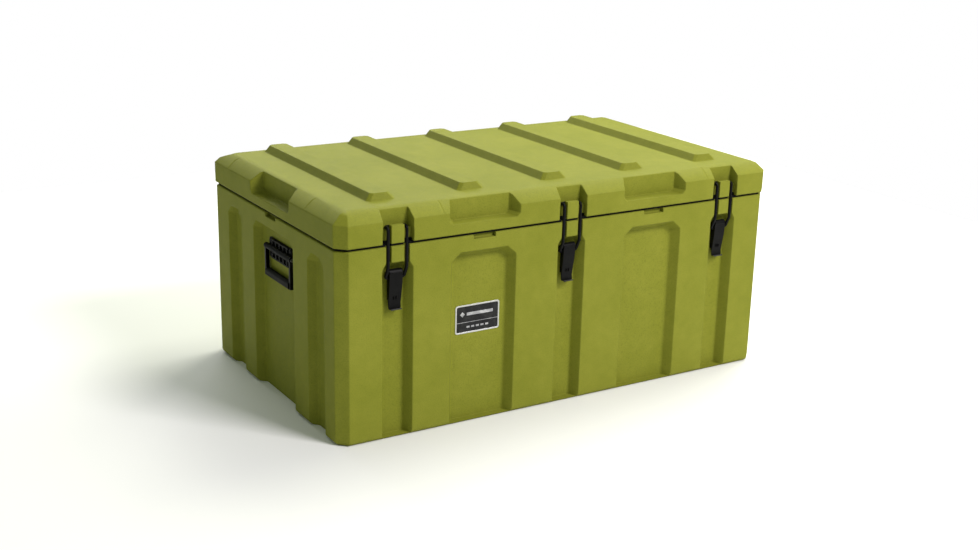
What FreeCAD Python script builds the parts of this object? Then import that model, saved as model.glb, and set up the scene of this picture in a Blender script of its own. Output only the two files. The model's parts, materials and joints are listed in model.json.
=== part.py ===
import FreeCAD, Part
import os
from math import cos, radians, sin

# Large rotomoulded transit case: a ribbed tub, a ribbed lid with a seal, three draw
# latches on the front, three hinges on the back and a drop handle on each end.
# Millimetres. +Z up, +X along the case, the front is the -Y side. The origin is the
# middle of the underside.

Vector = FreeCAD.Vector

# ---- overall sizes
HALF_LENGTH = 500.0
HALF_WIDTH = 300.0
CORNER_CUT = 20.0  # leg of the flat across each upright corner
SKIN = 6.5  # moulded wall
FLOOR_THICK = 8.0
BASE_ROUND = 10.0
TUB_TOP = 373.5
RIM_DROP = 22.0  # height of the thick band at the mouth
RIM_WIDTH = 24.0
RIM_ROUND = 3.0

# ---- lid
LID_OVERHANG = 2.0
LID_BOTTOM = 378.5
LID_SHOULDER = 421.0
LID_BEVEL_TOP = 437.0
LID_BEVEL_INSET = 17.0
LID_CROWN = 442.5
LID_CROWN_INSET = 36.0
LID_RIM_WIDTH = 27.0
RIB_PITCH = 190.0
RIB_COUNT = 5
RIB_HEIGHT = 13.0
RIB_HALF_BASE = 30.0
RIB_HALF_TOP = 19.0
RIB_FRONT = -234.0
RIB_BACK = 241.0
RIB_FRONT_RUN = 6.0
RIB_BACK_RUN = 1.5
BACK_BEVEL_REACH = 50.0  # the broad bevel along the lid's back edge
CREASE_WIDTH = 2.4
CREASE_DEPTH = 0.35
FRONT_CREASES = (-287.0, 334.0)
END_CREASES = (-160.0, 210.0)

# ---- seal
SEAL_INSET = 3.5
SEAL_WIDTH = 14.5
SEAL_GAP = 0.3
DIFFERENT_BODY_GAP = 0.3  # between pieces that move apart
SEAL_TONGUE_INSET = 8.0
SEAL_TONGUE_WIDTH = 6.0
SEAL_TONGUE_DEPTH = 5.0

# ---- where things sit along the walls
LATCH_PITCH = 381.6
PANEL_CENTRE = 198.6
SIDE_PANEL_CENTRE = 193.0
NAMES = ("left", "middle", "right")

# ---- upright recesses in the tub's walls: width, top, corner cut, depth and slopes
POCKET_DEPTH = 22.0
POCKET_WIDTH = 64.0
POCKET_TOP = 343.0
PANEL_WIDTH = 143.0
PANEL_DEPTH = 20.0
FOOT_LIP = 3.0  # thin lip along the foot of the front wall, across its recesses
END_WIDTH = 191.0
END_SHIFT = -8.5  # the end recesses sit a little towards the front
SIDE_PANEL_SHIFT = -10.0
END_TOP = 346.0
END_DEPTH = 18.0
HINGE_PANEL_TOP = 296.0
HINGE_PANEL_DEPTH = 16.0
SIDE_PANEL_WIDTH = 72.0
SIDE_PANEL_DEPTH = 16.0
PRY_HALF = 24.0
PRY_DEPTH = 9.0
PRY_DROP = 8.0
FINGER_BOTTOM = 399.0
FINGER_DEPTH = 22.0

# ---- latch, measured from the wall's plane (y) inwards
NOSE_HALF = 13.0
CHANNEL_OUTER = 24.0
CHANNEL_DEPTH = 10.0
NOTCH_HALF = 32.0
NOTCH_BACK = 20.7
NOTCH_BACK_HALF = 28.5
NOSE_BACK = 10.5
NOSE_TOP = 412.0
HOOK_FLOOR = 403.7
WIRE_RADIUS = 3.0
WIRE_BEND = 5.0
BAIL_HALF = 19.0
BAIL_LEG_Y = 2.0
BAIL_BAR_Y = 15.2
BAIL_BAR_Z = 407.0
PIVOT_Y = 12.5
PIVOT_Z = 321.0
PIN_RADIUS = 2.5
RUNNING_CLEARANCE = 0.05
BAIL_ARM = 10.0  # from the lever's pin down to the bail's ends
KNUCKLE_RADIUS = 6.5
LEVER_HALF_TOP = 13.4
LEVER_HALF_TIP = 12.3
LEVER_TIP_Z = 250.0
LEVER_LIP_Z = 261.0
LEVER_SHEET = 2.0
LATCH_PLATE = 2.0
LATCH_PLATE_LOW = 264.0
LATCH_PLATE_HIGH = 324.0
LATCH_PLATE_HALF = 10.5
EAR_INNER = 13.4
EAR_OUTER = 15.2
EAR_RADIUS = 4.7

# ---- end handle, measured from the wall's plane inwards
HANDLE_PIVOT_Y = 11.0
HANDLE_SHIFT = -12.0
HANDLE_PIVOT_Z = 300.0
HANDLE_ROD_RADIUS = 3.5
HANDLE_HALF = 61.0
HANDLE_ARM_WIDTH = 6.0
HANDLE_ARM_DEPTH = 8.0
BRACKET_HALF = 53.5
BRACKET_LOW = 278.0
BRACKET_HIGH = 319.0
BRACKET_PLATE = 3.0
BRACKET_BARREL = 6.0
GRIP_LOW = 239.5
GRIP_HIGH = 255.5
GRIP_DEPTH = 13.0

# ---- hinge
HINGE_Y = 308.5
HINGE_Z = 376.0
HINGE_HALF = 32.0
HINGE_PIN_RADIUS = 2.5
HINGE_KNUCKLE = 5.0
HINGE_LEAF = 2.5
HINGE_TUB_LOW = 318.0
HINGE_LID_HIGH = 416.0
HINGE_KNUCKLES = 5
HINGE_GAP = 0.4

# ---- fasteners and badge
SCREW_SHANK = 2.0
SCREW_HEAD = 4.0
SCREW_HEAD_HEIGHT = 1.8
SCREW_GRIP = 4.0
BADGE_X = -199.3
BADGE_Z = 203.0
BADGE_HALF_LENGTH = 48.8
BADGE_HALF_HEIGHT = 28.5
BADGE_THICK = 1.2


def box(x0, x1, y0, y1, z0, z1):
    return Part.makeBox(x1 - x0, y1 - y0, z1 - z0, Vector(x0, y0, z0))


def rod(radius, start, end):
    along = end - start
    return Part.makeCylinder(radius, along.Length, start, along)


def polygon(points):
    return Part.makePolygon([Vector(*p) for p in points] + [Vector(*points[0])])


def slab(points, along):
    """A flat outline pulled straight along a vector."""
    return Part.Face(polygon(points)).extrude(along)


def octagon(inset, z, overhang=0.0):
    """The plan of the case, moved in by an inset, with flats across its corners."""
    hx = HALF_LENGTH + overhang - inset
    hy = HALF_WIDTH + overhang - inset
    cut = max(CORNER_CUT - 0.586 * inset, 2.0)
    quarter = [(hx, hy - cut), (hx - cut, hy)]
    points = []
    for sx, sy in ((1, 1), (-1, 1), (-1, -1), (1, -1)):
        corner = [(sx * x, sy * y, z) for x, y in quarter]
        points += corner if sx * sy > 0 else corner[::-1]
    return polygon(points)


def stack(levels, overhang=0.0):
    """A solid through plans at (inset, height) levels."""
    return Part.makeLoft([octagon(i, z, overhang) for i, z in levels], True, True)


def on_wall(shape, side, along=0.0):
    """Move a shape modelled on a wall's plane (y = 0, inwards +y) to its place."""
    moved = shape.copy()
    turn = {"front": 0, "back": 180, "left": -90, "right": 90}[side]
    reach = HALF_WIDTH if side in ("front", "back") else HALF_LENGTH
    moved.translate(Vector(along, -reach, 0))
    moved.rotate(Vector(0, 0, 0), Vector(0, 0, 1), turn)
    return moved


def along_end(side, y):
    """The distance along an end wall that puts a shape at this y in the frame."""
    return -y if side == "left" else y


def recess(width, top, cut, depth, run, top_run, grow=0.0, rounding=6.0, foot=-30.0):
    """An upright recess from foot to top, with sloped sides and cut top corners."""
    outside = 4.0
    ends = []
    for y in (-outside, depth + grow):
        in_side = run * y / depth
        in_top = top_run * y / depth
        w = width / 2 + grow - in_side
        t = top + grow - in_top
        c = cut[0] * (1 - 0.25 * y / depth)
        h = cut[1] * (1 - 0.25 * y / depth)
        outline = [(-w, foot), (w, foot), (w, t - h), (w - c, t), (c - w, t), (-w, t - h)]
        ends.append(polygon([(u, y, z) for u, z in outline]))
    tool = Part.makeLoft(ends, True, True)
    return soften(tool, foot, rounding)


def soften(tool, foot, rounding):
    """Round a recess's floor edges and the edges that run down its top corners."""
    chosen = []
    for edge in tool.Edges:
        ys = sorted(v.Point.y for v in edge.Vertexes)
        zs = [v.Point.z for v in edge.Vertexes]
        at_mouth = ys[1] < 0
        at_foot = max(zs) < foot + 1
        if not at_mouth and not at_foot:
            chosen.append(edge)
    return tool.makeFillet(rounding, chosen)


def wall_recesses(grow=0.0):
    """Every upright recess in the tub, larger by grow for the inner face."""
    front_foot = FOOT_LIP - grow
    pocket = recess(POCKET_WIDTH, POCKET_TOP, (8, 13), POCKET_DEPTH, 11, 4, grow, 5, front_foot)
    panel = recess(PANEL_WIDTH, POCKET_TOP, (20, 17), PANEL_DEPTH, 13, 9, grow, 8, front_foot)
    back_panel = recess(PANEL_WIDTH, POCKET_TOP, (20, 17), PANEL_DEPTH, 11, 9, grow, 8)
    hinge_panel = recess(POCKET_WIDTH, HINGE_PANEL_TOP, (8, 10), HINGE_PANEL_DEPTH, 11, 8, grow, 5)
    end_panel = recess(END_WIDTH, END_TOP, (15, 15), END_DEPTH, 11, 9, grow, 7)
    side_panel = recess(SIDE_PANEL_WIDTH, END_TOP, (18, 16), SIDE_PANEL_DEPTH, 12, 8, grow, 9)
    tools = []
    for s in (-1, 1):
        tools.append(on_wall(panel, "front", s * PANEL_CENTRE))
        tools.append(on_wall(back_panel, "back", s * PANEL_CENTRE))
    for step in (-1, 0, 1):
        tools.append(on_wall(pocket, "front", step * LATCH_PITCH))
        tools.append(on_wall(hinge_panel, "back", step * LATCH_PITCH))
    for side in ("left", "right"):
        tools.append(on_wall(end_panel, side, along_end(side, END_SHIFT)))
        for s in (-1, 1):
            y = s * SIDE_PANEL_CENTRE + SIDE_PANEL_SHIFT
            tools.append(on_wall(side_panel, side, along_end(side, y)))
    return tools


def wire_channels(z0, z1):
    """The two upright grooves beside each latch's middle block."""
    tools = []
    for step in (-1, 0, 1):
        for s in (-1, 1):
            low, high = sorted((s * NOSE_HALF, s * CHANNEL_OUTER))
            groove = box(low, high, -4, CHANNEL_DEPTH, z0, z1)
            tools.append(on_wall(groove, "front", step * LATCH_PITCH))
    return tools


def pry_slots():
    """Shallow slots under the seam, for fingers or a pry bar."""
    slot = box(-PRY_HALF, PRY_HALF, -4, PRY_DEPTH, TUB_TOP - PRY_DROP, TUB_TOP + 2)
    tools = [on_wall(slot, "front", s * PANEL_CENTRE) for s in (-1, 1)]
    return tools + [on_wall(slot, side) for side in ("left", "right")]


def rounded_levels(radius, height, upward):
    """Levels of a quarter round at the foot (upward) or the top of a stack."""
    levels = []
    for degrees in (0, 30, 60, 90):
        inset = radius * (1 - sin(radians(degrees)))
        rise = radius * (1 - cos(radians(degrees)))
        levels.append((inset, height + rise if upward else height - rise))
    return levels if upward else levels[::-1]


def make_tub():
    foot = rounded_levels(BASE_ROUND, 0.0, True)
    mouth = rounded_levels(RIM_ROUND, TUB_TOP, False)
    outer = stack(foot + mouth)
    outer = outer.cut(wall_recesses() + wire_channels(POCKET_TOP - 12, TUB_TOP + 5))
    outer = outer.cut(pry_slots())
    rim_low = TUB_TOP - RIM_DROP
    cavity = stack([
        (SKIN + 6, FLOOR_THICK),
        (SKIN, FLOOR_THICK + 8),
        (SKIN, rim_low - 18),
        (RIM_WIDTH, rim_low),
        (RIM_WIDTH, TUB_TOP + 5),
    ])
    cavity = cavity.cut(wall_recesses(SKIN))
    return outer.cut(cavity)


def lid_rib(z0, shrink=0.0):
    """One raised rib across the lid, sloped on all four sides."""
    top = LID_CROWN + RIB_HEIGHT - shrink
    ends = []
    for z in (z0, top):
        part = (top - z) / RIB_HEIGHT
        hx = RIB_HALF_TOP - shrink + (RIB_HALF_BASE - RIB_HALF_TOP) * part
        back = RIB_BACK - shrink - RIB_BACK_RUN * (1 - part)
        front = RIB_FRONT + shrink + RIB_FRONT_RUN * (1 - part)
        c = 6.0
        outline = [(hx, back - c), (hx - c, back), (c - hx, back), (-hx, back - c)]
        outline += [(-hx, front + c), (c - hx, front), (hx - c, front), (hx, front + c)]
        ends.append(polygon([(x, y, z) for x, y in outline]))
    return Part.makeLoft(ends, True, True)


def ribs(z0, shrink=0.0):
    rib = lid_rib(z0, shrink)
    row = []
    for n in range(RIB_COUNT):
        one = rib.copy()
        one.translate(Vector((n - (RIB_COUNT - 1) / 2) * RIB_PITCH, 0, 0))
        row.append(one)
    return row


def finger_recess(width, bottom):
    """A grip under the lid's edge: a ledge with sloped ends and a back wall."""
    ends = []
    for y, half, low in ((-6, width / 2 + 3, bottom - 1), (FINGER_DEPTH, width / 2 - 11, bottom + 1)):
        c = 7.0
        outline = [(-half, 470), (-half, low + c), (c - half, low)]
        outline += [(half - c, low), (half, low + c), (half, 470)]
        ends.append(polygon([(u, y, z) for u, z in outline]))
    return Part.makeLoft(ends, True, True)


def latch_notch():
    """The gap in the lid's edge around one latch's nose, wider at its mouth."""
    side = NOTCH_HALF
    high = LID_CROWN + 20
    plan = [(-side, -6), (side, -6), (NOTCH_BACK_HALF, NOTCH_BACK), (-NOTCH_BACK_HALF, NOTCH_BACK)]
    mouth = slab([(u, y, HOOK_FLOOR) for u, y in plan], Vector(0, 0, high - HOOK_FLOOR))
    side_view = [(-6, HOOK_FLOOR), (NOTCH_BACK, HOOK_FLOOR), (NOTCH_BACK, NOSE_TOP - 1)]
    side_view += [(NOTCH_BACK - 1.5, LID_BEVEL_TOP + 1), (NOTCH_BACK - 4, high), (-6, high)]
    back_wall = slab([(-side, y, z) for y, z in side_view], Vector(2 * side, 0, 0))
    lower = box(-side, side, -6, CHANNEL_DEPTH, LID_BOTTOM - 2, HOOK_FLOOR)
    nose = box(-NOSE_HALF, NOSE_HALF, 0, NOSE_BACK, LID_BOTTOM - 2, NOSE_TOP)
    return mouth.common(back_wall).fuse(lower).cut(nose)


def crease():
    """A fine line that crosses the lid's bevel and runs on to its top."""
    middle = (LID_BEVEL_INSET + LID_CROWN_INSET) / 2
    line = [(0, LID_SHOULDER), (LID_BEVEL_INSET, LID_BEVEL_TOP), (middle, LID_CROWN - 1.5)]
    below = [(y - LID_OVERHANG, z - CREASE_DEPTH) for y, z in line]
    above = [(y - LID_OVERHANG - 4, z + 4) for y, z in line[::-1]]
    start = -CREASE_WIDTH / 2
    return slab([(start, y, z) for y, z in below + above], Vector(CREASE_WIDTH, 0, 0))


def back_bevel():
    """What the broad rear bevel takes off the lid, along the whole back edge."""
    outer = LID_OVERHANG
    low = LID_SHOULDER
    high = LID_CROWN - 2.0
    profile = [(-outer - 6, low - 2), (-outer, low), (BACK_BEVEL_REACH - outer, high)]
    profile += [(BACK_BEVEL_REACH - outer, LID_CROWN + 4), (-outer - 6, LID_CROWN + 4)]
    reach = HALF_LENGTH + 10
    return on_wall(slab([(-reach, y, z) for y, z in profile], Vector(2 * reach, 0, 0)), "back")


def make_lid():
    foot = [(1.6, LID_BOTTOM), (0.4, LID_BOTTOM + 1.2), (0.0, LID_BOTTOM + 3.2)]
    outer = stack(
        foot + [
            (0.0, LID_SHOULDER),
            (LID_BEVEL_INSET, LID_BEVEL_TOP),
            ((LID_BEVEL_INSET + LID_CROWN_INSET) / 2, LID_CROWN - 1.5),
            (LID_CROWN_INSET, LID_CROWN),
        ],
        LID_OVERHANG,
    )
    outer = outer.cut(back_bevel()).fuse(ribs(LID_CROWN - 6.0))
    tools = [on_wall(latch_notch(), "front", n * LATCH_PITCH) for n in (-1, 0, 1)]
    front_grip = finger_recess(152, FINGER_BOTTOM)
    end_grip = finger_recess(183, FINGER_BOTTOM - 1)
    tools += [on_wall(front_grip, "front", s * PANEL_CENTRE) for s in (-1, 1)]
    tools += [on_wall(end_grip, side) for side in ("left", "right")]
    tools += [on_wall(crease(), "front", x) for x in FRONT_CREASES]
    for side in ("left", "right"):
        tools += [on_wall(crease(), side, along_end(side, y)) for y in END_CREASES]
    cavity = stack(
        [
            (LID_RIM_WIDTH, LID_BOTTOM - 5),
            (LID_RIM_WIDTH + 2, LID_BEVEL_TOP - SKIN - 6),
            (LID_CROWN_INSET + 6, LID_CROWN - SKIN),
        ],
        LID_OVERHANG,
    )
    hollows = ribs(LID_CROWN - SKIN - 1.0, SKIN)
    groove = seal_ring(SEAL_TONGUE_INSET, SEAL_TONGUE_WIDTH, LID_BOTTOM - 1, LID_BOTTOM + SEAL_TONGUE_DEPTH)
    return outer.cut(tools + [cavity] + hollows + [groove])


def seal_ring(inset, width, z0, z1):
    outer = stack([(inset, z0), (inset, z1)])
    inner = stack([(inset + width, z0 - 1), (inset + width, z1 + 1)])
    return outer.cut(inner)


def make_seal():
    face = seal_ring(SEAL_INSET, SEAL_WIDTH, TUB_TOP + SEAL_GAP, LID_BOTTOM)
    tongue = seal_ring(SEAL_TONGUE_INSET, SEAL_TONGUE_WIDTH, LID_BOTTOM, LID_BOTTOM + SEAL_TONGUE_DEPTH)
    whole = face.fuse(tongue).removeSplitter()
    above = LID_BOTTOM + SEAL_TONGUE_DEPTH + 4
    gap = box(-NOTCH_HALF, NOTCH_HALF, -4, CHANNEL_DEPTH, LID_BOTTOM, above)
    inner = NOSE_HALF - DIFFERENT_BODY_GAP
    outer = CHANNEL_OUTER + DIFFERENT_BODY_GAP
    for low, high in ((-outer, -inner), (inner, outer)):
        gap = gap.fuse(box(low, high, -4, CHANNEL_DEPTH, TUB_TOP - 1, above))
    return whole.cut([on_wall(gap, "front", step * LATCH_PITCH) for step in (-1, 0, 1)])


def rounded_path(points, radius):
    """Straight runs through the points, joined by tangent arcs."""
    points = [Vector(*p) for p in points]
    edges = []
    start = points[0]
    for before, here, after in zip(points, points[1:], points[2:]):
        back = (before - here).normalize()
        on = (after - here).normalize()
        half = back.getAngle(on) / 2
        reach = radius / (sin(half) / cos(half))
        middle = (back + on).normalize() * (radius / sin(half))
        centre = here + middle
        first = here + back * reach
        last = here + on * reach
        crown = centre - (back + on).normalize() * radius
        edges.append(Part.LineSegment(start, first).toShape())
        edges.append(Part.Arc(first, crown, last).toShape())
        start = last
    edges.append(Part.LineSegment(start, points[-1]).toShape())
    return Part.Wire(edges)


def bent_wire(points, radius, bend):
    path = rounded_path(points, bend)
    first = Vector(*points[0])
    along = Vector(*points[1]) - first
    section = Part.Wire([Part.makeCircle(radius, first, along)])
    return path.makePipeShell([section], True, False)


def screw(place, depth):
    """A pan-head screw on a face at y = depth, with its head outwards."""
    u, z = place
    head = rod(SCREW_HEAD, Vector(u, depth, z), Vector(u, depth - SCREW_HEAD_HEIGHT, z))
    top_edge = [e for e in head.Edges if e.CenterOfMass.y < depth - SCREW_HEAD_HEIGHT + 0.1]
    head = head.makeFillet(0.8, top_edge[:1])
    slot = box(u - 2.4, u + 2.4, depth - 3, depth - SCREW_HEAD_HEIGHT + 0.7, z - 0.5, z + 0.5)
    cross = box(u - 0.5, u + 0.5, depth - 3, depth - SCREW_HEAD_HEIGHT + 0.7, z - 2.4, z + 2.4)
    shank = rod(SCREW_SHANK, Vector(u, depth, z), Vector(u, depth + SCREW_GRIP, z))
    return head.cut([slot, cross]).fuse(shank)


def shanks(places, depth):
    """The holes that a group of screws needs in a plate and the wall behind it."""
    return [
        rod(SCREW_SHANK, Vector(u, depth - 1, z), Vector(u, depth + SCREW_GRIP, z))
        for u, z in places
    ]


LATCH_SCREWS = [(u, z) for u in (-5.5, 5.5) for z in (271.0, 292.0)]
LATCH_FACE = POCKET_DEPTH - LATCH_PLATE


def latch_base():
    """A plate on the pocket's floor with two ears that carry the lever's pin."""
    low, high = LATCH_PLATE_LOW, LATCH_PLATE_HIGH
    plate = box(-LATCH_PLATE_HALF, LATCH_PLATE_HALF, LATCH_FACE, POCKET_DEPTH, low, high)
    corners = [e for e in plate.Edges if abs(e.Vertexes[0].Point.y - e.Vertexes[1].Point.y) > 1]
    plate = plate.makeFillet(4, corners)
    plate = plate.fuse(box(-EAR_OUTER, EAR_OUTER, LATCH_FACE, POCKET_DEPTH, high - 16, high - 4))
    for s in (-1, 1):
        low, high = sorted((s * EAR_INNER, s * EAR_OUTER))
        side = [
            (PIVOT_Y, PIVOT_Z + EAR_RADIUS),
            (PIVOT_Y, PIVOT_Z - EAR_RADIUS),
            (LATCH_FACE + 1, LATCH_PLATE_HIGH - 14),
            (LATCH_FACE + 1, LATCH_PLATE_HIGH - 4),
        ]
        arm = slab([(low, y, z) for y, z in side], Vector(high - low, 0, 0))
        eye = rod(EAR_RADIUS, Vector(low, PIVOT_Y, PIVOT_Z), Vector(high, PIVOT_Y, PIVOT_Z))
        plate = plate.fuse([arm, eye])
    bore = rod(PIN_RADIUS + RUNNING_CLEARANCE, Vector(-20, PIVOT_Y, PIVOT_Z), Vector(20, PIVOT_Y, PIVOT_Z))
    return plate.removeSplitter().cut([bore] + shanks(LATCH_SCREWS, LATCH_FACE))


def latch_lever():
    """A tapered sheet lever with a rolled knuckle, side flanges and a turned-out tip."""
    front = PIVOT_Y - KNUCKLE_RADIUS
    half = LEVER_HALF_TOP
    sheet = LEVER_SHEET
    knee = PIVOT_Z - 22
    outline = [
        (front, PIVOT_Z),
        (front + 0.8, knee),
        (front + 6.4, LEVER_LIP_Z),
        (front + 4.6, LEVER_TIP_Z + 1),
        (front + 6.0, LEVER_TIP_Z),
        (front + 7.4, LEVER_TIP_Z + 0.6),
        (front + 6.4 + sheet, LEVER_LIP_Z - 0.6),
        (front + 0.8 + sheet, knee - 0.6),
        (front + sheet, PIVOT_Z),
    ]
    web = slab([(-half, y, z) for y, z in outline], Vector(2 * half, 0, 0))
    knuckle = rod(KNUCKLE_RADIUS, Vector(-half, PIVOT_Y, PIVOT_Z), Vector(half, PIVOT_Y, PIVOT_Z))
    cheeks = []
    cheek = [
        (front + 0.5, PIVOT_Z),
        (front + 1.3, knee),
        (front + 6.9, LEVER_LIP_Z),
        (front + 9.4, LEVER_LIP_Z + 2),
        (PIVOT_Y + 3.6, PIVOT_Z - 30),
        (PIVOT_Y + 5.0, PIVOT_Z - 14),
        (PIVOT_Y + 5.5, PIVOT_Z - 1),
    ]
    for start in (-half, half - sheet):
        cheeks.append(slab([(start, y, z) for y, z in cheek], Vector(sheet, 0, 0)))
    lever = web.fuse([knuckle] + cheeks)
    taper = slab(
        [
            (-half, -10, PIVOT_Z + 20),
            (-half, -10, PIVOT_Z - 18),
            (-LEVER_HALF_TIP, -10, LEVER_TIP_Z + 3),
            (-LEVER_HALF_TIP + 2, -10, LEVER_TIP_Z - 2),
            (LEVER_HALF_TIP - 2, -10, LEVER_TIP_Z - 2),
            (LEVER_HALF_TIP, -10, LEVER_TIP_Z + 3),
            (half, -10, PIVOT_Z - 18),
            (half, -10, PIVOT_Z + 20),
        ],
        Vector(0, 40, 0),
    )
    lever = lever.common(taper)
    bore = rod(PIN_RADIUS + RUNNING_CLEARANCE, Vector(-20, PIVOT_Y, PIVOT_Z), Vector(20, PIVOT_Y, PIVOT_Z))
    end_z = PIVOT_Z - BAIL_ARM
    eye = rod(WIRE_RADIUS + RUNNING_CLEARANCE, Vector(-20, PIVOT_Y, end_z), Vector(20, PIVOT_Y, end_z))
    return lever.cut([bore, eye])


def latch_pin():
    return rod(PIN_RADIUS, Vector(-EAR_OUTER, PIVOT_Y, PIVOT_Z), Vector(EAR_OUTER, PIVOT_Y, PIVOT_Z))


def latch_bail():
    """The round-wire loop that hooks over the lid's nose."""
    end_z = PIVOT_Z - BAIL_ARM
    side = [
        (10.6, PIVOT_Y, end_z),
        (BAIL_HALF, PIVOT_Y, end_z),
        (BAIL_HALF, BAIL_LEG_Y, end_z + 22),
        (BAIL_HALF, BAIL_LEG_Y, BAIL_BAR_Z),
        (BAIL_HALF, BAIL_BAR_Y, BAIL_BAR_Z),
    ]
    path = side + [(-x, y, z) for x, y, z in side[::-1]]
    return bent_wire(path, WIRE_RADIUS, WIRE_BEND)


def rounded_bar(x0, x1, y0, y1, z0, z1, radius):
    """A bar along x with rounded long edges."""
    bar = box(x0, x1, y0, y1, z0, z1)
    longways = [e for e in bar.Edges if abs(e.Vertexes[0].Point.x - e.Vertexes[1].Point.x) > 1]
    return bar.makeFillet(radius, longways)


BRACKET_SCREWS = [(u, z) for u in (-47.0, 47.0) for z in (284.0, 313.0)]
BRACKET_FACE = END_DEPTH - BRACKET_PLATE


def handle_bracket():
    """A ribbed plate with a barrel along its middle that holds the handle's rod."""
    plate = box(-BRACKET_HALF, BRACKET_HALF, BRACKET_FACE, END_DEPTH, BRACKET_LOW, BRACKET_HIGH)
    corners = [e for e in plate.Edges if abs(e.Vertexes[0].Point.y - e.Vertexes[1].Point.y) > 1]
    plate = plate.makeFillet(5, corners)
    start = Vector(-BRACKET_HALF, HANDLE_PIVOT_Y, HANDLE_PIVOT_Z)
    end = Vector(BRACKET_HALF, HANDLE_PIVOT_Y, HANDLE_PIVOT_Z)
    barrel = rod(BRACKET_BARREL, start, end)
    low, high = HANDLE_PIVOT_Z - 5, HANDLE_PIVOT_Z + 5
    seat = box(-BRACKET_HALF, BRACKET_HALF, HANDLE_PIVOT_Y, BRACKET_FACE + 1, low, high)
    webs = []
    for n in range(5):
        u = (n - 2) * 17.5
        for low, high in ((BRACKET_LOW + 3, HANDLE_PIVOT_Z), (HANDLE_PIVOT_Z, BRACKET_HIGH - 3)):
            webs.append(box(u - 2, u + 2, HANDLE_PIVOT_Y + 1, BRACKET_FACE + 1, low, high))
    rails = [
        box(-40, 40, HANDLE_PIVOT_Y + 1, BRACKET_FACE + 1, z, z + 3)
        for z in (BRACKET_LOW + 1, BRACKET_HIGH - 4)
    ]
    bore = rod(HANDLE_ROD_RADIUS, start - Vector(5, 0, 0), end + Vector(5, 0, 0))
    whole = plate.fuse([barrel, seat] + webs + rails).removeSplitter()
    return whole.cut([bore] + shanks(BRACKET_SCREWS, BRACKET_FACE))


def handle_rod():
    start = Vector(-HANDLE_HALF - 4, HANDLE_PIVOT_Y, HANDLE_PIVOT_Z)
    end = Vector(HANDLE_HALF + 4, HANDLE_PIVOT_Y, HANDLE_PIVOT_Z)
    return rod(HANDLE_ROD_RADIUS, start, end)


def handle_arms():
    """Two arms that swing on the rod, and the core bar that joins them in the grip."""
    pieces = []
    for s in (-1, 1):
        low, high = sorted((s * (HANDLE_HALF - HANDLE_ARM_WIDTH), s * HANDLE_HALF))
        hub = rod(
            HANDLE_ARM_DEPTH / 2 + 1.8,
            Vector(low, HANDLE_PIVOT_Y, HANDLE_PIVOT_Z),
            Vector(high, HANDLE_PIVOT_Y, HANDLE_PIVOT_Z),
        )
        near = HANDLE_PIVOT_Y - HANDLE_ARM_DEPTH / 2
        arm = box(low, high, near, near + HANDLE_ARM_DEPTH, GRIP_LOW + 1, HANDLE_PIVOT_Z)
        pieces += [hub, arm]
    middle = (GRIP_LOW + GRIP_HIGH) / 2
    core_end = HANDLE_HALF - 2
    core = rod(
        HANDLE_ROD_RADIUS,
        Vector(-core_end, HANDLE_PIVOT_Y, middle),
        Vector(core_end, HANDLE_PIVOT_Y, middle),
    )
    bore = rod(
        HANDLE_ROD_RADIUS + RUNNING_CLEARANCE,
        Vector(-90, HANDLE_PIVOT_Y, HANDLE_PIVOT_Z),
        Vector(90, HANDLE_PIVOT_Y, HANDLE_PIVOT_Z),
    )
    return core.fuse(pieces).removeSplitter().cut(bore)


def handle_grip():
    """The thick moulded grip over the core bar."""
    half = HANDLE_HALF - HANDLE_ARM_WIDTH
    near = HANDLE_PIVOT_Y - GRIP_DEPTH / 2
    far = HANDLE_PIVOT_Y + GRIP_DEPTH / 2
    grip = rounded_bar(-half, half, near, far, GRIP_LOW, GRIP_HIGH, 5)
    middle = (GRIP_LOW + GRIP_HIGH) / 2
    core = rod(HANDLE_ROD_RADIUS, Vector(-90, HANDLE_PIVOT_Y, middle), Vector(90, HANDLE_PIVOT_Y, middle))
    return grip.cut(core)


HINGE_TUB_SCREWS = [(u, z) for u in (-20.0, 20.0) for z in (328.0, 352.0)]
HINGE_LID_SCREWS = [(u, 402.0) for u in (-20.0, 0.0, 20.0)]
PIN_DEPTH = HALF_WIDTH - HINGE_Y  # negative: the pin stands outside the back wall
KNUCKLE_ROOT = 4.0


def hinge_leaf(face, low, high, first):
    """One leaf: a plate on a wall and every second knuckle round the pin."""
    plate = box(-HINGE_HALF, HINGE_HALF, face - HINGE_LEAF, face, low, high)
    pitch = 2 * HINGE_HALF / HINGE_KNUCKLES
    upper = low > HINGE_Z
    edge = low if upper else high
    pieces = []
    for n in range(HINGE_KNUCKLES):
        a = -HINGE_HALF + n * pitch + HINGE_GAP / 2
        b = a + pitch - HINGE_GAP
        if n % 2 == first:
            pieces.append(rod(HINGE_KNUCKLE, Vector(a, PIN_DEPTH, HINGE_Z), Vector(b, PIN_DEPTH, HINGE_Z)))
            root = (edge, edge + KNUCKLE_ROOT) if upper else (edge - KNUCKLE_ROOT, edge)
            low_z, high_z = min(root[0], HINGE_Z), max(root[1], HINGE_Z)
            pieces.append(box(a, b, PIN_DEPTH, PIN_DEPTH + HINGE_KNUCKLE, low_z, high_z))
            pieces.append(box(a, b, PIN_DEPTH, face, *root))
    bore = rod(
        HINGE_PIN_RADIUS + RUNNING_CLEARANCE,
        Vector(-40, PIN_DEPTH, HINGE_Z),
        Vector(40, PIN_DEPTH, HINGE_Z),
    )
    return plate.fuse(pieces).removeSplitter().cut(bore)


def hinge_tub_leaf():
    leaf = hinge_leaf(0.0, HINGE_TUB_LOW, HINGE_Z - 6, 0)
    return leaf.cut(shanks(HINGE_TUB_SCREWS, -HINGE_LEAF))


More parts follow.
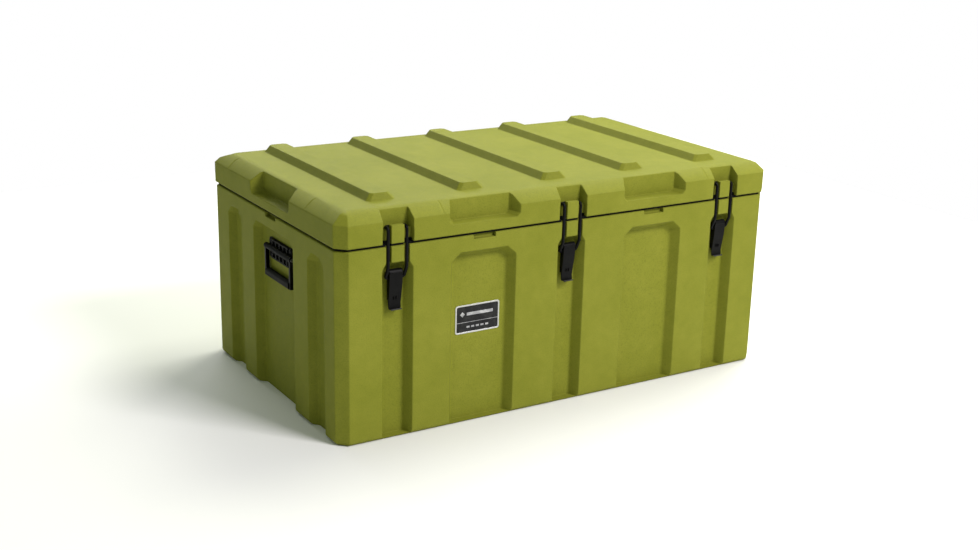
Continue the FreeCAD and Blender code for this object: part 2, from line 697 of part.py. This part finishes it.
def hinge_lid_leaf():
    leaf = hinge_leaf(-LID_OVERHANG, HINGE_Z + 6, HINGE_LID_HIGH, 1)
    return leaf.cut(shanks(HINGE_LID_SCREWS, -LID_OVERHANG - HINGE_LEAF))


def hinge_pin():
    end = HINGE_HALF + 1.0
    return rod(HINGE_PIN_RADIUS, Vector(-end, PIN_DEPTH, HINGE_Z), Vector(end, PIN_DEPTH, HINGE_Z))


def rounded_plate(half_length, half_height, y0, y1, z, radius):
    plate = box(-half_length, half_length, y0, y1, z - half_height, z + half_height)
    corners = [e for e in plate.Edges if abs(e.Vertexes[0].Point.y - e.Vertexes[1].Point.y) > 0.1]
    return plate.makeFillet(radius, corners)


def badge_plate():
    """A rounded metal plate with a shallow field sunk into its face."""
    face = PANEL_DEPTH - BADGE_THICK
    plate = rounded_plate(BADGE_HALF_LENGTH, BADGE_HALF_HEIGHT, face, PANEL_DEPTH, BADGE_Z, 5)
    field = rounded_plate(
        BADGE_HALF_LENGTH - 3,
        BADGE_HALF_HEIGHT - 3,
        PANEL_DEPTH - BADGE_THICK - 1,
        PANEL_DEPTH - BADGE_THICK + 0.5,
        BADGE_Z,
        3,
    )
    return plate.cut(field)


def badge_face():
    return rounded_plate(
        BADGE_HALF_LENGTH - 3,
        BADGE_HALF_HEIGHT - 3,
        PANEL_DEPTH - BADGE_THICK,
        PANEL_DEPTH - BADGE_THICK + 0.5,
        BADGE_Z,
        3,
    )


def group(places, depth):
    return Part.makeCompound([screw(place, depth) for place in places])


def drill(body, side, spots):
    """Cut screw holes into a moulding; spots are (along, places, depth)."""
    holes = []
    for along, places, depth in spots:
        holes += [on_wall(hole, side, along) for hole in shanks(places, depth)]
    return body.cut(holes)


def make_all():
    places = {name: (n - 1) * LATCH_PITCH for n, name in enumerate(NAMES)}
    tub = make_tub()
    lid = make_lid()
    tub = drill(tub, "front", [(x, LATCH_SCREWS, LATCH_FACE) for x in places.values()])
    tub = drill(tub, "back", [(x, HINGE_TUB_SCREWS, -HINGE_LEAF) for x in places.values()])
    for side in ("left", "right"):
        tub = drill(tub, side, [(along_end(side, HANDLE_SHIFT), BRACKET_SCREWS, BRACKET_FACE)])
    lid_face = -LID_OVERHANG - HINGE_LEAF
    lid = drill(lid, "back", [(x, HINGE_LID_SCREWS, lid_face) for x in places.values()])
    nodes = {"tub": tub, "lid": lid, "lid_seal": make_seal()}
    for name, x in places.items():
        for part, shape in (
            ("base", latch_base()),
            ("lever", latch_lever()),
            ("pin", latch_pin()),
            ("bail", latch_bail()),
            ("screws", group(LATCH_SCREWS, LATCH_FACE)),
        ):
            nodes[f"latch_{name}_{part}"] = on_wall(shape, "front", x)
        for part, shape in (
            ("tub_leaf", hinge_tub_leaf()),
            ("lid_leaf", hinge_lid_leaf()),
            ("pin", hinge_pin()),
            ("tub_screws", group(HINGE_TUB_SCREWS, -HINGE_LEAF)),
            ("lid_screws", group(HINGE_LID_SCREWS, lid_face)),
        ):
            nodes[f"hinge_{name}_{part}"] = on_wall(shape, "back", -x)
    for side in ("left", "right"):
        for part, shape in (
            ("bracket", handle_bracket()),
            ("rod", handle_rod()),
            ("arms", handle_arms()),
            ("grip", handle_grip()),
            ("screws", group(BRACKET_SCREWS, BRACKET_FACE)),
        ):
            nodes[f"handle_{side}_{part}"] = on_wall(shape, side, along_end(side, HANDLE_SHIFT))
    nodes["badge_plate"] = on_wall(badge_plate(), "front", BADGE_X)
    nodes["badge_face"] = on_wall(badge_face(), "front", BADGE_X)
    return nodes


os.makedirs("parts", exist_ok=True)
for node, shape in make_all().items():
    shape.exportStep(f"parts/{node}.step")
    print(node, len(shape.Solids), shape.isValid(), round(shape.Volume / 1000, 2), "cm3")
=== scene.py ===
import json
from math import cos, radians, sin

import bmesh
import bpy
from mathutils import Matrix, Vector

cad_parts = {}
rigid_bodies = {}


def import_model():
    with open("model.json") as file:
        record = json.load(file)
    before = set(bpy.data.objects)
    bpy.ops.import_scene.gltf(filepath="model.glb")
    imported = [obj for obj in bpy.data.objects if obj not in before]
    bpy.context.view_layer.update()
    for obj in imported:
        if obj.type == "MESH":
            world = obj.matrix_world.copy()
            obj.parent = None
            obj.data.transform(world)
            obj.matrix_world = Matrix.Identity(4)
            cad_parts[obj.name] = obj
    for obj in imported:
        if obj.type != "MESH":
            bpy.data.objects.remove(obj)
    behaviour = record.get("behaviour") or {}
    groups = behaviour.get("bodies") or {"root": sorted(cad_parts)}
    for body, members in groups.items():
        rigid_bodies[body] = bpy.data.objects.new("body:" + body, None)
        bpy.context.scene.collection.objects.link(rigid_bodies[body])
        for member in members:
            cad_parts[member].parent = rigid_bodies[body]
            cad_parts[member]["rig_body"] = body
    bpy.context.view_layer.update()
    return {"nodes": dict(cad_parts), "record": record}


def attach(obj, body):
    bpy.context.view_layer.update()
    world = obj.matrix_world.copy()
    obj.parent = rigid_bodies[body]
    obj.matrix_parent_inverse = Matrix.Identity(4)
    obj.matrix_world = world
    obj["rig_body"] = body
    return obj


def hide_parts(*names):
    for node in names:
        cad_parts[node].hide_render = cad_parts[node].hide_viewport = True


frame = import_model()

MM = 0.001
LATCHES = {"left": -381.6, "middle": 0.0, "right": 381.6}  # the latches' x, in millimetres
BADGE_X, BADGE_Z = -199.3, 203.0  # the badge's middle, in millimetres
BADGE_FRONT = -281.38  # how far forward its marks stand
LEVER_TOP, LEVER_BOTTOM = 321.2, 251.2  # the lever's ends, in millimetres


# ---------------------------------------------------------------- camera, floor and light
def add_camera():
    """The view: from the front left, a little above the lid."""
    yaw, pitch, roll = radians(32.04), radians(17.258), radians(1.433)
    look = Vector((sin(yaw) * cos(pitch), cos(yaw) * cos(pitch), -sin(pitch)))
    level = Vector((cos(yaw), -sin(yaw), 0))
    above = level.cross(look)
    right = level * cos(roll) + above * sin(roll)
    up = above * cos(roll) - level * sin(roll)
    data = bpy.data.cameras.new("camera")
    data.sensor_width = 36.0
    data.lens = 51.59
    data.clip_end = 50
    camera = bpy.data.objects.new("camera", data)
    bpy.context.scene.collection.objects.link(camera)
    turn = Matrix((right, up, -look)).transposed()
    camera.matrix_world = Matrix.Translation((-1.52397, -2.43553, 1.07352)) @ turn.to_4x4()
    bpy.context.scene.camera = camera


def area_light(name, place, target, size, power, colour=(1, 1, 1)):
    data = bpy.data.lights.new(name, "AREA")
    data.shape = "RECTANGLE"
    data.size, data.size_y = size
    data.energy = power
    data.color = colour
    light = bpy.data.objects.new(name, data)
    bpy.context.scene.collection.objects.link(light)
    light.location = place
    aim = Vector(target) - Vector(place)
    light.rotation_euler = aim.to_track_quat("-Z", "Y").to_euler()


def add_lights():
    area_light("overhead", (1.5, 0.7, 2.4), (0.1, 0.1, 0.2), (2.0, 2.0), 82, (1.0, 1.0, 0.84))
    area_light("front", (1.1, -3.0, 2.9), (0.1, -0.2, 0.2), (1.4, 1.0), 152, (1.0, 0.955, 0.98))
    area_light("back", (0.4, 3.6, 2.4), (0, 0.6, 0.1), (3.0, 1.2), 70)
    world = bpy.data.worlds.new("studio")
    world.use_nodes = True
    nodes, links = world.node_tree.nodes, world.node_tree.links
    shade = nodes["Background"]  # lights the case; the backdrop is only what the camera sees
    shade.inputs["Color"].default_value = (0.90, 1.0, 0.84, 1)
    shade.inputs["Strength"].default_value = 0.31
    backdrop = nodes.new("ShaderNodeBackground")
    backdrop.inputs["Color"].default_value = (1, 1, 1, 1)
    backdrop.inputs["Strength"].default_value = 1.0
    path = nodes.new("ShaderNodeLightPath")
    mix = nodes.new("ShaderNodeMixShader")
    links.new(path.outputs["Is Camera Ray"], mix.inputs[0])
    links.new(shade.outputs[0], mix.inputs[1])
    links.new(backdrop.outputs[0], mix.inputs[2])
    links.new(mix.outputs[0], nodes["World Output"].inputs["Surface"])
    bpy.context.scene.world = world
    bpy.context.scene.view_settings.view_transform = "Standard"


def add_floor():
    half = 1.9
    mesh = bpy.data.meshes.new("floor")
    corners = [(-half, -half, 0), (half, -half, 0), (half, half, 0), (-half, half, 0)]
    mesh.from_pydata(corners, [], [(0, 1, 2, 3)])
    floor = bpy.data.objects.new("floor", mesh)
    bpy.context.scene.collection.objects.link(floor)
    floor.data.materials.append(plain_floor())


# ---------------------------------------------------------------- materials
def new_material(name):
    material = bpy.data.materials.new(name)
    material.use_nodes = True
    nodes = material.node_tree.nodes
    return material, nodes, material.node_tree.links, nodes["Principled BSDF"]


def noise(nodes, links, scale, detail=4.0, roughness=0.55):
    """Noise in the object's own metres, so it keeps its real size."""
    place = nodes.new("ShaderNodeTexCoord")
    texture = nodes.new("ShaderNodeTexNoise")
    texture.inputs["Scale"].default_value = scale
    texture.inputs["Detail"].default_value = detail
    texture.inputs["Roughness"].default_value = roughness
    links.new(place.outputs["Object"], texture.inputs["Vector"])
    return texture.outputs["Fac"]


def ramp(nodes, links, value, stops):
    """A colour ramp: stops are (position, colour)."""
    node = nodes.new("ShaderNodeValToRGB")
    elements = node.color_ramp.elements
    while len(elements) < len(stops):
        elements.new(0.5)
    for element, (position, colour) in zip(elements, stops):
        element.position = position
        element.color = (*colour, 1)
    links.new(value, node.inputs["Fac"])
    return node.outputs["Color"]


def spread(nodes, links, value, low, high):
    node = nodes.new("ShaderNodeMapRange")
    node.inputs["From Min"].default_value = 0.3
    node.inputs["From Max"].default_value = 0.7
    node.inputs["To Min"].default_value = low
    node.inputs["To Max"].default_value = high
    links.new(value, node.inputs["Value"])
    return node.outputs["Result"]


def soft_edges(nodes, radius):
    """A normal that rolls over the edges, as a moulded skin does."""
    edge = nodes.new("ShaderNodeBevel")
    edge.samples = 6
    edge.inputs["Radius"].default_value = radius
    return edge.outputs["Normal"]


def bump(nodes, links, shader, heights, before=None):
    """Stack bumps: heights are (value, distance in metres, strength)."""
    for value, distance, strength in heights:
        node = nodes.new("ShaderNodeBump")
        node.inputs["Distance"].default_value = distance
        node.inputs["Strength"].default_value = strength
        links.new(value, node.inputs["Height"])
        if before is not None:
            links.new(before, node.inputs["Normal"])
        before = node.outputs["Normal"]
    links.new(before, shader.inputs["Normal"])


def plain_floor():
    material, nodes, links, shader = new_material("floor")
    shader.inputs["Base Color"].default_value = (0.88, 0.88, 0.88, 1)
    shader.inputs["Roughness"].default_value = 0.9
    return material


def mixed(nodes, links, blend, factor, first, second):
    """Two colours blended by a constant factor."""
    mix = nodes.new("ShaderNodeMix")
    mix.data_type = "RGBA"
    mix.blend_type = blend
    mix.inputs["Factor"].default_value = factor
    links.new(first, mix.inputs["A"])
    links.new(second, mix.inputs["B"])
    return mix.outputs["Result"]


def shell_green():
    """Rotomoulded polyethylene: grainy, softly mottled, with a faint waxy sheen."""
    material, nodes, links, shader = new_material("shell_green")
    mottle = noise(nodes, links, 7.0, 7.0, 0.62)
    cloud = noise(nodes, links, 55.0, 4.0, 0.6)
    grain = noise(nodes, links, 520.0, 3.0, 0.7)
    pebble = noise(nodes, links, 1700.0, 2.0, 0.5)
    wide = ramp(nodes, links, mottle, [(0.30, (0.208, 0.222, 0.022)), (0.70, (0.246, 0.255, 0.031))])
    soft = ramp(nodes, links, cloud, [(0.30, (0.90, 0.91, 0.86)), (0.70, (1.0, 1.0, 1.0))])
    speckle = [(0.32, (0.70, 0.72, 0.66)), (0.50, (0.97, 0.97, 0.95)), (0.70, (1.0, 1.0, 1.0))]
    fine = ramp(nodes, links, grain, speckle)
    colour = mixed(nodes, links, "MULTIPLY", 0.8, wide, soft)
    colour = mixed(nodes, links, "MULTIPLY", 1.0, colour, fine)
    links.new(colour, shader.inputs["Base Color"])
    links.new(spread(nodes, links, grain, 0.52, 0.70), shader.inputs["Roughness"])
    shader.inputs["Specular IOR Level"].default_value = 0.10
    heights = [(pebble, 0.0003, 0.30), (grain, 0.0006, 0.45), (cloud, 0.0015, 0.10)]
    bump(nodes, links, shader, heights, soft_edges(nodes, 0.0035))
    return material


def black_coat(name, level, rough, grain_scale, grain_height):
    """A black coating or moulding with a fine texture and slightly rubbed patches."""
    material, nodes, links, shader = new_material(name)
    wear = noise(nodes, links, 60.0, 5.0, 0.65)
    grain = noise(nodes, links, grain_scale, 2.0, 0.5)
    light = level * 2.2
    colour = ramp(nodes, links, wear, [(0.45, (level, level, level * 1.05)), (0.75, (light, light, light))])
    links.new(colour, shader.inputs["Base Color"])
    links.new(spread(nodes, links, wear, rough, rough + 0.14), shader.inputs["Roughness"])
    shader.inputs["Specular IOR Level"].default_value = 0.08
    bump(nodes, links, shader, [(grain, grain_height, 0.4)])
    return material


def turned_steel(name, level, rough):
    material, nodes, links, shader = new_material(name)
    wear = noise(nodes, links, 240.0, 4.0, 0.6)
    shader.inputs["Metallic"].default_value = 1.0
    colour = ramp(nodes, links, wear, [(0.3, (level * 0.75,) * 3), (0.7, (level,) * 3)])
    links.new(colour, shader.inputs["Base Color"])
    links.new(spread(nodes, links, wear, rough, rough + 0.15), shader.inputs["Roughness"])
    bump(nodes, links, shader, [(wear, 0.0001, 0.2)])
    return material


MATERIALS = {
    "green_shell": shell_green(),
    "black_seal": black_coat("black_seal", 0.004, 0.75, 900.0, 0.0004),
    "black_steel": black_coat("black_steel", 0.0035, 0.34, 1400.0, 0.00012),
    "black_wire": black_coat("black_wire", 0.004, 0.30, 1400.0, 0.00008),
    "black_screw": black_coat("black_screw", 0.007, 0.35, 1400.0, 0.0001),
    "steel_pin": turned_steel("steel_pin", 0.16, 0.35),
    "black_plastic": black_coat("black_plastic", 0.004, 0.45, 900.0, 0.0003),
    "black_grip": black_coat("black_grip", 0.004, 0.50, 700.0, 0.0005),
    "badge_metal": turned_steel("badge_metal", 0.62, 0.28),
    "badge_print": black_coat("badge_print", 0.32, 0.4, 900.0, 0.00005),
    # the lever lip's coat: its raised black level is a painted highlight, and its rubbed patches are wear
    # as on the other coats
    "lip_painted_highlight": black_coat("lip_painted_highlight", 0.030, 0.35, 1400.0, 0.0001),
    "badge_dark": black_coat("badge_dark", 0.018, 0.25, 900.0, 0.0001),
}


# ---------------------------------------------------------------- meshes
def link(name, mesh):
    piece = bpy.data.objects.new(name, mesh)
    bpy.context.scene.collection.objects.link(piece)
    return piece


def applied(piece):
    """Bake a piece's modifiers into its mesh."""
    shape = bpy.context.evaluated_depsgraph_get()
    mesh = bpy.data.meshes.new_from_object(piece.evaluated_get(shape))
    piece.modifiers.clear()
    piece.data = mesh
    return piece


BEVEL_SHARES = (1.0, 0.85, 0.7, 0.55, 0.4, 0.25, 0.12)  # of the wanted width, widest first


def folded(mesh):
    """The area of faces that fold over themselves: their triangles cover more than they do."""
    mesh.calc_loop_triangles()
    covered = [0.0] * len(mesh.polygons)
    for triangle in mesh.loop_triangles:
        covered[triangle.polygon_index] += triangle.area
    return sum(c for c, face in zip(covered, mesh.polygons) if c > face.area * 1.002 + 1e-8)


def rounded(name, mesh, width, segments, angle):
    """The mesh with its sharp edges rounded by this width."""
    piece = link(name, mesh.copy())
    bevel = piece.modifiers.new("round", "BEVEL")
    bevel.width = width
    bevel.segments = segments
    bevel.limit_method = "ANGLE"
    bevel.angle_limit = radians(angle)
    bevel.use_clamp_overlap = False
    bevel.miter_outer = "MITER_ARC"
    weighted = piece.modifiers.new("weighted", "WEIGHTED_NORMAL")
    weighted.mode = "FACE_AREA"
    weighted.weight = 100
    weighted.keep_sharp = False
    return applied(piece)


def refined(node, width, segments=2, angle=24.0):
    """A CAD node's shape, flat faces merged, with the widest edge rounding that stays clean."""
    mesh = bpy.data.meshes.new(node + "_shape")
    shape = bmesh.new()
    shape.from_mesh(frame["nodes"][node].data)
    bmesh.ops.remove_doubles(shape, verts=shape.verts, dist=2e-6)
    bmesh.ops.dissolve_limit(
        shape, angle_limit=radians(0.6), use_dissolve_boundaries=False, verts=shape.verts, edges=shape.edges
    )
    shape.to_mesh(mesh)
    shape.free()
    mesh.shade_smooth()
    kept, least = None, None
    for share in BEVEL_SHARES:
        piece = rounded(node + "_piece", mesh, width * share, segments, angle)
        fold = folded(piece.data)
        if kept is None:
            kept, least = piece, fold
        elif fold < least:
            bpy.data.objects.remove(kept)
            kept, least = piece, fold
        else:
            bpy.data.objects.remove(piece)
        if fold == 0:
            break
    return kept


def put(piece, node):
    """Let a piece stand for a CAD node, on its body, with its slot's material."""
    slots = {s["node"]: s["material_slot"] for s in frame["record"]["subparts"]}
    slot = slots[node]
    piece.data.materials.clear()
    piece.data.materials.append(MATERIALS[slot])
    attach(piece, frame["nodes"][node]["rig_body"])
    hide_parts(node)


EDGE_ROUNDS = {"tub": 1.0, "lid": 1.3}


def add_pieces():
    for node in frame["nodes"]:
        put(refined(node, EDGE_ROUNDS.get(node, 0.35) * MM), node)


# ---------------------------------------------------------------- small details
def block(shape, low, high):
    """A box between two corners, in millimetres."""
    corners = bmesh.ops.create_cube(shape, size=1.0)["verts"]
    size = [b - a for a, b in zip(low, high)]
    middle = [(a + b) / 2 for a, b in zip(low, high)]
    bmesh.ops.scale(shape, vec=Vector(size) * MM, verts=corners)
    bmesh.ops.translate(shape, vec=Vector(middle) * MM, verts=corners)


def prism(shape, sides, radius, depth, place):
    """A regular prism, in millimetres, its axis along z before it is placed."""
    bmesh.ops.create_cone(
        shape,
        cap_ends=True,
        segments=sides,
        radius1=radius * MM,
        radius2=radius * MM,
        depth=depth * MM,
        matrix=place,
    )


def bar(shape, radius, half, middle):
    """A round bar along x, in millimetres."""
    place = Matrix.Translation(Vector(middle) * MM) @ Matrix.Rotation(radians(90), 4, "Y")
    prism(shape, 32, radius, 2 * half, place)


def own_piece(name, shape, width, body, material):
    """A detail of our own: its edges are rounded and it rides on a body."""
    mesh = bpy.data.meshes.new(name)
    shape.to_mesh(mesh)
    shape.free()
    mesh.shade_smooth()
    piece = link(name, mesh)
    bevel = piece.modifiers.new("round", "BEVEL")
    bevel.width = width * MM
    bevel.segments = 2
    bevel.angle_limit = radians(40)
    weighted = piece.modifiers.new("weighted", "WEIGHTED_NORMAL")
    weighted.keep_sharp = False
    applied(piece)
    piece.data.materials.append(MATERIALS[material])
    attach(piece, body)


def latch_details(name, x):
    """The rolled top edge, the padlock eye and the lip of one lever; the lip's lighter black is a painted
    highlight.
    """
    lever = f"latch_{name}_lever"
    roll = bmesh.new()
    bar(roll, 2.5, 12.7, (x, -292.3, LEVER_TOP))
    own_piece(f"{lever}_roll", roll, 0.5, lever, "black_steel")
    eye = bmesh.new()
    for side in (-2.6, 2.6):
        block(eye, (x + side - 0.7, -291.6, 269.0), (x + side + 0.7, -287.5, 275.0))
    own_piece(f"{lever}_eye", eye, 0.4, lever, "black_steel")
    lip = bmesh.new()
    bar(lip, 1.3, 11.0, (x, -294.0, LEVER_BOTTOM))
    # the lip's lighter black is a painted highlight
    own_piece(f"{lever}_lip", lip, 0.3, lever, "lip_painted_highlight")


def badge_marks():
    """Plain marks that stand in for print: a bar, a diamond, a rule and a row of dashes."""
    x, z = BADGE_X, BADGE_Z
    near, far = BADGE_FRONT, BADGE_FRONT + 0.28
    marks = bmesh.new()
    block(marks, (x - 24, near, z + 7), (x + 34, far, z + 13))
    block(marks, (x - 45.5, near, z - 6.6), (x + 45.5, far, z - 5.8))
    for step in range(5):
        left = x - 24 + step * 10.4
        block(marks, (left, near, z - 17.5), (left + 6.6, far, z - 14))
    place = Matrix.Translation(Vector((x - 33.5, (near + far) / 2, z + 10)) * MM)
    prism(marks, 4, 5.2, far - near, place @ Matrix.Rotation(radians(90), 4, "X"))
    own_piece("badge_marks", marks, 0.05, "tub", "badge_print")


def add_details():
    for name, x in LATCHES.items():
        latch_details(name, x)
    badge_marks()


add_camera()
add_lights()
add_floor()
add_pieces()
add_details()
